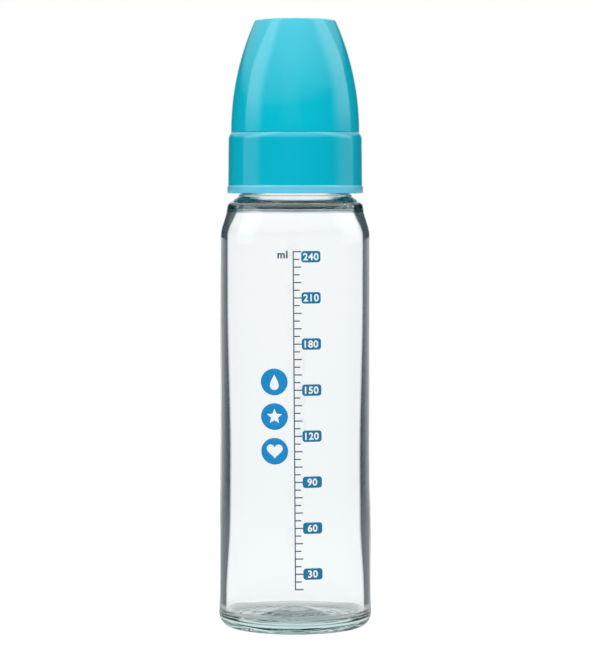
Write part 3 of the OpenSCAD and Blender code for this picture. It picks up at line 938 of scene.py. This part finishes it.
def place_on(camera, carrier, x, y):
    """Where the ray through a point of the frame meets a piece.

    A ray that misses it gives the piece's place nearest to where the ray passes the piece's origin.
    """
    graph = bpy.context.evaluated_depsgraph_get()
    tree = BVHTree.FromObject(carrier, graph)
    start, direction = camera_ray(camera, x, y)
    hit = tree.ray_cast(start, direction)[0]
    if hit is None:
        along = (carrier.matrix_world.translation - start).dot(direction)
        hit = tree.find_nearest(start + direction * along)[0]
    return hit


def shown_places(camera, piece):
    """A piece's finished vertices in the photograph's frame, as an array of x and y."""
    finished = piece.evaluated_get(bpy.context.evaluated_depsgraph_get())
    mesh = finished.to_mesh()
    places = np.zeros(len(mesh.vertices) * 3)
    mesh.vertices.foreach_get("co", places)
    finished.to_mesh_clear()
    to_camera = np.array(camera.matrix_world.inverted() @ piece.matrix_world)
    local = places.reshape(-1, 3) @ to_camera[:3, :3].T + to_camera[:3, 3]
    lens = camera.data
    long_side = max(FRAME_W, FRAME_H)
    reach = long_side * lens.lens / lens.sensor_width / -local[:, 2]
    x = FRAME_W / 2 + local[:, 0] * reach - lens.shift_x * long_side
    y = FRAME_H / 2 - local[:, 1] * reach + lens.shift_y * long_side
    return np.stack([x, y], 1)


def measured_points(camera):
    """Where each named point's feature shows in the frame."""
    shown = {name: shown_places(camera, bpy.data.objects[name])
             for name in ("bottle_glass", "turquoise_hood", "turquoise_ring", "scale_marks", "unit_label",
                          "badge_240_print", "badge_120_print", "badge_30_print")}
    whole = np.concatenate([shown["bottle_glass"], shown["turquoise_hood"], shown["turquoise_ring"]])
    hood, ring, scale = shown["turquoise_hood"], shown["turquoise_ring"], shown["scale_marks"]

    def middle(places):
        return (places.min(0) + places.max(0)) / 2

    top_corner = hood[hood[:, 1] < hood[:, 1].min() + 3]
    rim = hood[hood[:, 0] < hood[:, 0].min() + 0.3]
    low_ring = ring[ring[:, 1] > ring[:, 1].max() - 8]
    left_rim = low_ring[low_ring[:, 0] < low_ring[:, 0].min() + 0.5]
    right_rim = low_ring[low_ring[:, 0] > low_ring[:, 0].max() - 0.5]
    line_top = scale[scale[:, 1] < scale[:, 1].min() + 1]
    line_bottom = scale[scale[:, 1] > scale[:, 1].max() - 1]
    return {
        "object_left": (whole[:, 0].min(), None),
        "object_right": (whole[:, 0].max(), None),
        "object_top": (None, whole[:, 1].min()),
        "object_bottom": (None, whole[:, 1].max()),
        "hood_corner_left": (top_corner[:, 0].min(), top_corner[top_corner[:, 0].argmin(), 1]),
        "hood_corner_right": (top_corner[:, 0].max(), top_corner[top_corner[:, 0].argmax(), 1]),
        "hood_rim_left": (rim[:, 0].min(), rim[:, 1].max()),
        "ring_lower_left": (left_rim[:, 0].min(), left_rim[:, 1].max()),
        "ring_lower_right": (right_rim[:, 0].max(), right_rim[:, 1].max()),
        "scale_top": (line_top[:, 0].min(), line_top[:, 1].min()),
        "scale_bottom": (line_bottom[:, 0].min(), line_bottom[:, 1].max()),
        "badge_240": middle(shown["badge_240_print"]),
        "badge_120": middle(shown["badge_120_print"]),
        "badge_30": middle(shown["badge_30_print"]),
        "unit_label": middle(shown["unit_label"]),
    }


def write_points(camera):
    """Measures where each feature shows in the frame, and writes nothing."""
    for name, found in measured_points(camera).items():
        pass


# Stage ----------------------------------------------------------------------------------------------------

def azimuth(tree, direction):
    """The angle of a direction round the axis, arctan(x / -y): 0 towards the camera, more to the right."""
    parts = add_node(tree, "ShaderNodeSeparateXYZ", {"Vector": direction}).outputs
    return math_node(tree, "ARCTAN2", parts["X"], math_node(tree, "MULTIPLY", parts["Y"], -1.0))


def band(tree, value, starts, full, fades, gone):
    """1 between full and fades, 0 before starts and past gone, with smooth steps between."""
    return product(tree, ranged(tree, value, starts, full, 0, 1, smooth=True),
                   ranged(tree, value, fades, gone, 1, 0, smooth=True))


def studio_behind_glass():
    """What is seen through glass: white walls up to a greyer ceiling."""
    group = bpy.data.node_groups.new("studio behind glass", "ShaderNodeTree")
    group.interface.new_socket("Direction", in_out="INPUT", socket_type="NodeSocketVector")
    group.interface.new_socket("Seen", in_out="OUTPUT", socket_type="NodeSocketColor")
    direction = add_node(group, "NodeGroupInput").outputs["Direction"]
    output = add_node(group, "NodeGroupOutput")
    upwards = ranged(group, height_of(group, direction), 0.12, 0.40, 0, 1, smooth=True)
    room = mixed(group, upwards, (0.98, 0.99, 1, 1), (0.30, 0.37, 0.40, 1))
    group.links.new(room, output.inputs[0])
    return group


def studio_reflection(tree, direction):
    """How bright the studio looks in a gloss: an overhead glow, two side boxes and the pale back wall.

    Angles are radians round the axis, from 0 at the camera, and heights are the rise of the direction. The
    boxes draw together as they rise. The sides, away from the boxes, are a very dark blue.
    """
    parts = add_node(tree, "ShaderNodeSeparateXYZ", {"Vector": direction}).outputs
    x, z = parts["X"], parts["Z"]
    tilted = math_node(tree, "MULTIPLY_ADD", x, -0.05, z)
    glow_edge = ranged(tree, tilted, 0.21, 0.29, 0, 0.4, smooth=True)
    glow = ranged(tree, tilted, 0.24, 1.0, 0, 2.9)
    round_it = product(tree, azimuth(tree, direction), ranged(tree, z, 0.35, 0.9, 1.0, 1.35))
    either_side = math_node(tree, "ABSOLUTE", round_it)
    left = band(tree, round_it, -1.80, -1.70, -1.30, -1.00)
    right = band(tree, round_it, 1.15, 1.60, 2.00, 2.10)
    boxes = product(tree, math_node(tree, "MULTIPLY_ADD", right, 0.9, left),
                    ranged(tree, z, 0.02, 0.22, 0.8, 2.1, smooth=True))
    back_wall = ranged(tree, either_side, 2.75, 2.85, 0, 1, smooth=True)
    bright = total(tree, glow_edge, glow, boxes, back_wall)
    blue = mixed(tree, ranged(tree, round_it, -1, 1, 0, 1), (0.02, 0.04, 0.05, 1), (0.02, 0.05, 0.08, 1))
    side = ranged(tree, either_side, 1.6, 2.2, 0, 1, smooth=True)
    tinted = mixed(tree, side, (0, 0, 0, 1), blue)
    return add_node(tree, "ShaderNodeVectorMath", {0: tinted, 1: bright}, operation="ADD").outputs[0]


def set_world(settings, behind):
    """The world: even light on surfaces, the studio in gloss, a room through glass, white to the camera."""
    world = bpy.data.worlds.new("studio")
    world.use_nodes = True
    tree = world.node_tree
    tree.nodes.clear()
    path = add_node(tree, "ShaderNodeLightPath")
    direction = add_node(tree, "ShaderNodeTexCoord").outputs["Generated"]
    reflection = studio_reflection(tree, direction)
    ambient = settings.ambient
    soft = mixed(tree, path.outputs["Is Glossy Ray"], (ambient, ambient, ambient, 1), reflection)
    room = add_node(tree, "ShaderNodeGroup", {"Direction": direction}, node_tree=behind).outputs[0]
    through = mixed(tree, path.outputs["Is Transmission Ray"], soft, room)
    seen = mixed(tree, path.outputs["Is Camera Ray"], through, (1, 1, 1, 1))
    background = add_node(tree, "ShaderNodeBackground", {"Color": seen, "Strength": 1.0})
    output = add_node(tree, "ShaderNodeOutputWorld")
    tree.links.new(background.outputs[0], output.inputs["Surface"])
    bpy.context.scene.world = world


FLOOR_REACH = 30.0
FLOOR_LIFT = 0.6


def floor_material(behind):
    """A pale floor that keeps the bottle's shadow.

    The camera always sees it lit, with a lift that makes it white outside the shadow. Behind glass it is
    lit under the bottle and plain white beyond. In gloss it is lit nearby, and beyond that white behind the
    bottle and dark in front.
    """
    material, tree, output = new_material("floor")
    path = add_node(tree, "ShaderNodeLightPath")
    matte = add_node(tree, "ShaderNodeBsdfDiffuse", {"Color": (0.82, 0.82, 0.82, 1)})
    lift = product(tree, path.outputs["Is Camera Ray"], FLOOR_LIFT)
    lifted = add_node(tree, "ShaderNodeEmission", {"Color": (1, 1, 1, 1), "Strength": lift})
    lit = add_node(tree, "ShaderNodeAddShader", {0: matte.outputs[0], 1: lifted.outputs[0]})
    place = object_place(tree)
    away = add_node(tree, "ShaderNodeVectorMath", {0: place}, operation="LENGTH").outputs["Value"]
    room = add_node(tree, "ShaderNodeGroup", {"Direction": place}, node_tree=behind).outputs[0]
    past_bottle = ranged(tree, away, 1.3 * BODY_R, 2.2 * BODY_R, 0, 1, smooth=True)
    past_near = ranged(tree, away, 0.3, 0.6, 0, 1, smooth=True)
    in_gloss = product(tree, path.outputs["Is Glossy Ray"], past_near)
    plain_share = mixed(tree, path.outputs["Is Transmission Ray"], in_gloss, past_bottle)
    either_side = math_node(tree, "ABSOLUTE", azimuth(tree, place))
    behind_bottle = ranged(tree, either_side, 2.0, 2.6, 0, 1, smooth=True)
    plain_colour = mixed(tree, path.outputs["Is Transmission Ray"], behind_bottle, room)
    plain = add_node(tree, "ShaderNodeEmission", {"Color": plain_colour, "Strength": 1.0})
    mix = add_node(tree, "ShaderNodeMixShader", {0: plain_share, 1: lit.outputs[0], 2: plain.outputs[0]})
    tree.links.new(mix.outputs[0], output.inputs["Surface"])
    return material


def add_floor(behind):
    """A wide round floor: one face, with its corners at R (cos a, sin a, 0)."""
    angle = even_angles(64)
    rim = FLOOR_REACH * np.stack([np.cos(angle), np.sin(angle), 0 * angle], 1)
    mesh = bpy.data.meshes.new("floor")
    mesh.from_pydata(rim.tolist(), [], [list(range(len(rim)))])
    mesh.materials.append(floor_material(behind))
    floor = bpy.data.objects.new("floor", mesh)
    bpy.context.scene.collection.objects.link(floor)


def add_box_light(name, place, target, width, height, brightness):
    """A soft box: its power is pi times its area times its brightness. Gloss and glass don't see it."""
    data = bpy.data.lights.new(name, "AREA")
    data.shape = "RECTANGLE"
    data.size = width
    data.size_y = height
    data.energy = math.pi * width * height * brightness
    light = bpy.data.objects.new(name, data)
    bpy.context.scene.collection.objects.link(light)
    light.location = place
    light.rotation_euler = (Vector(target) - Vector(place)).to_track_quat("-Z", "Y").to_euler()
    light.visible_camera = False
    light.visible_transmission = False
    light.visible_glossy = False


def add_camera(settings):
    """The camera, at the photograph's viewing angle."""
    data = bpy.data.cameras.new("camera")
    data.sensor_fit = "AUTO"
    data.lens = settings.lens
    camera = bpy.data.objects.new("camera", data)
    bpy.context.scene.collection.objects.link(camera)
    camera.location = (0, -settings.distance, settings.height)
    aim = Vector((settings.aim_side, 0, settings.aim_height)) - camera.location
    camera.rotation_euler = aim.to_track_quat("-Z", "Y").to_euler()
    data.clip_end = 200
    bpy.context.scene.camera = camera
    bpy.context.view_layer.update()
    return camera


# Operators ------------------------------------------------------------------------------------------------

def settings_of(context):
    """The scene's sizes, colours and stage settings."""
    scene = context.scene
    return scene.bottle_sizes, scene.bottle_colours, scene.bottle_stage


class BOTTLE_OT_set_stage(Operator):
    """Add the camera, the soft boxes, the world and the floor"""
    bl_idname = "bottle.set_stage"
    bl_label = "Stage"

    def execute(self, context):
        stage = settings_of(context)[2]
        context.scene.view_settings.view_transform = "Standard"
        add_camera(stage)
        # Light crosses the glass's walls several times over
        context.scene.cycles.max_bounces = 16
        context.scene.cycles.glossy_bounces = 12
        context.scene.cycles.transmission_bounces = 16
        behind = studio_behind_glass()
        set_world(stage, behind)
        add_floor(behind)
        middle = (0, 0, HOOD_Z * 0.7)
        add_box_light("key_box", (-0.3, -1.9, 0.9), middle, 1.2, 1.2, stage.key_light)
        add_box_light("top_box", (0, -0.25, 1.2), middle, 0.9, 0.9, stage.top_light)
        return {"FINISHED"}


class BOTTLE_OT_add_glass(Operator):
    """Add the glass bottle"""
    bl_idname = "bottle.add_glass"
    bl_label = "Glass"

    def execute(self, context):
        sizes, colours, _ = settings_of(context)
        add_glass(sizes, colours)
        return {"FINISHED"}


class BOTTLE_OT_add_ring(Operator):
    """Add the screw ring"""
    bl_idname = "bottle.add_ring"
    bl_label = "Screw ring"

    def execute(self, context):
        sizes, colours, _ = settings_of(context)
        add_ring(sizes, colours)
        return {"FINISHED"}


class BOTTLE_OT_add_hood(Operator):
    """Add the hood"""
    bl_idname = "bottle.add_hood"
    bl_label = "Hood"

    def execute(self, context):
        sizes, colours, _ = settings_of(context)
        add_hood(sizes, colours)
        return {"FINISHED"}


class BOTTLE_OT_add_teat(Operator):
    """Add the silicone teat"""
    bl_idname = "bottle.add_teat"
    bl_label = "Teat"

    def execute(self, context):
        sizes, colours, _ = settings_of(context)
        add_teat(sizes, colours)
        return {"FINISHED"}


class BOTTLE_OT_print_scale(Operator):
    """Give the printed marks their enamel and add the unit beside the top mark"""
    bl_idname = "bottle.print_scale"
    bl_label = "Scale"

    def execute(self, context):
        sizes, colours, _ = settings_of(context)
        slate = enamel_material("slate_enamel", colours.slate)
        marks = frame["nodes"]["scale_marks"]
        marks.data.materials.clear()
        marks.data.materials.append(slate)
        spot = place_on(context.scene.camera, bpy.data.objects["bottle_glass"], *IMAGE_POINTS["unit_label"])
        region = flat_region(text_polygons("ml", UNIT_HEIGHT, UNIT_BOLD), [])
        add_print("unit_label", region, (spot.x, spot.z), sizes, slate)
        return {"FINISHED"}


class BOTTLE_OT_print_badges(Operator):
    """Add the numbered badges, with their numbers left open to the glass"""
    bl_idname = "bottle.print_badges"
    bl_label = "Badges"

    def execute(self, context):
        sizes, colours, _ = settings_of(context)
        teal = enamel_material("teal_enamel", colours.teal)
        for number in BADGE_NUMBERS:
            node = f"badge_{number}"
            centre, width, height = box_middle(node)
            digits = text_polygons(str(number), DIGIT_HEIGHT, DIGIT_BOLD)
            region = flat_region([rounded_rectangle(width, height, BADGE_ROUND)], digits)
            add_print(node + "_print", region, centre, sizes, teal, [node])
        return {"FINISHED"}


class BOTTLE_OT_print_motifs(Operator):
    """Add the round motifs, each with a plain shape left open to the glass"""
    bl_idname = "bottle.print_motifs"
    bl_label = "Motifs"

    def execute(self, context):
        sizes, colours, _ = settings_of(context)
        blue = enamel_material("blue_enamel", colours.blue)
        for node, shape in MOTIFS.items():
            centre, width, _ = box_middle(node)
            region = flat_region([circle(width / 2)], [shape(width * MOTIF_SHARE)])
            add_print(node + "_print", region, centre, sizes, blue, [node])
        return {"FINISHED"}


class BOTTLE_OT_measure_points(Operator):
    """Measure where each feature shows in the photograph's frame; nothing is written"""
    bl_idname = "bottle.measure_points"
    bl_label = "Measure"

    def execute(self, context):
        write_points(context.scene.camera)
        return {"FINISHED"}


STEPS = (BOTTLE_OT_set_stage, BOTTLE_OT_add_glass, BOTTLE_OT_add_ring, BOTTLE_OT_add_hood, BOTTLE_OT_add_teat,
         BOTTLE_OT_print_scale, BOTTLE_OT_print_badges, BOTTLE_OT_print_motifs, BOTTLE_OT_measure_points)


class BOTTLE_PT_panel(Panel):
    """Lists the bottle's pieces in the order that they are built"""
    bl_label = "Bottle"
    bl_space_type = "VIEW_3D"
    bl_region_type = "UI"
    bl_category = "Bottle"

    def draw(self, context):
        for step in STEPS:
            self.layout.operator(step.bl_idname)
        for settings in settings_of(context):
            for name in settings.__annotations__:
                self.layout.prop(settings, name)


CLASSES = (BottleSizes, BottleColours, StageSettings, *STEPS, BOTTLE_PT_panel)


def register():
    """Registers the classes and puts the settings on the scene."""
    for item in CLASSES:
        bpy.utils.register_class(item)
    bpy.types.Scene.bottle_sizes = PointerProperty(type=BottleSizes)
    bpy.types.Scene.bottle_colours = PointerProperty(type=BottleColours)
    bpy.types.Scene.bottle_stage = PointerProperty(type=StageSettings)


def unregister():
    """Takes the settings and the classes away again."""
    del bpy.types.Scene.bottle_stage
    del bpy.types.Scene.bottle_colours
    del bpy.types.Scene.bottle_sizes
    for item in reversed(CLASSES):
        bpy.utils.unregister_class(item)


def main():
    """Builds everything in order."""
    register()
    for step in STEPS:
        group, name = step.bl_idname.split(".")
        getattr(getattr(bpy.ops, group), name)()


if __name__ == "__main__":
    main()
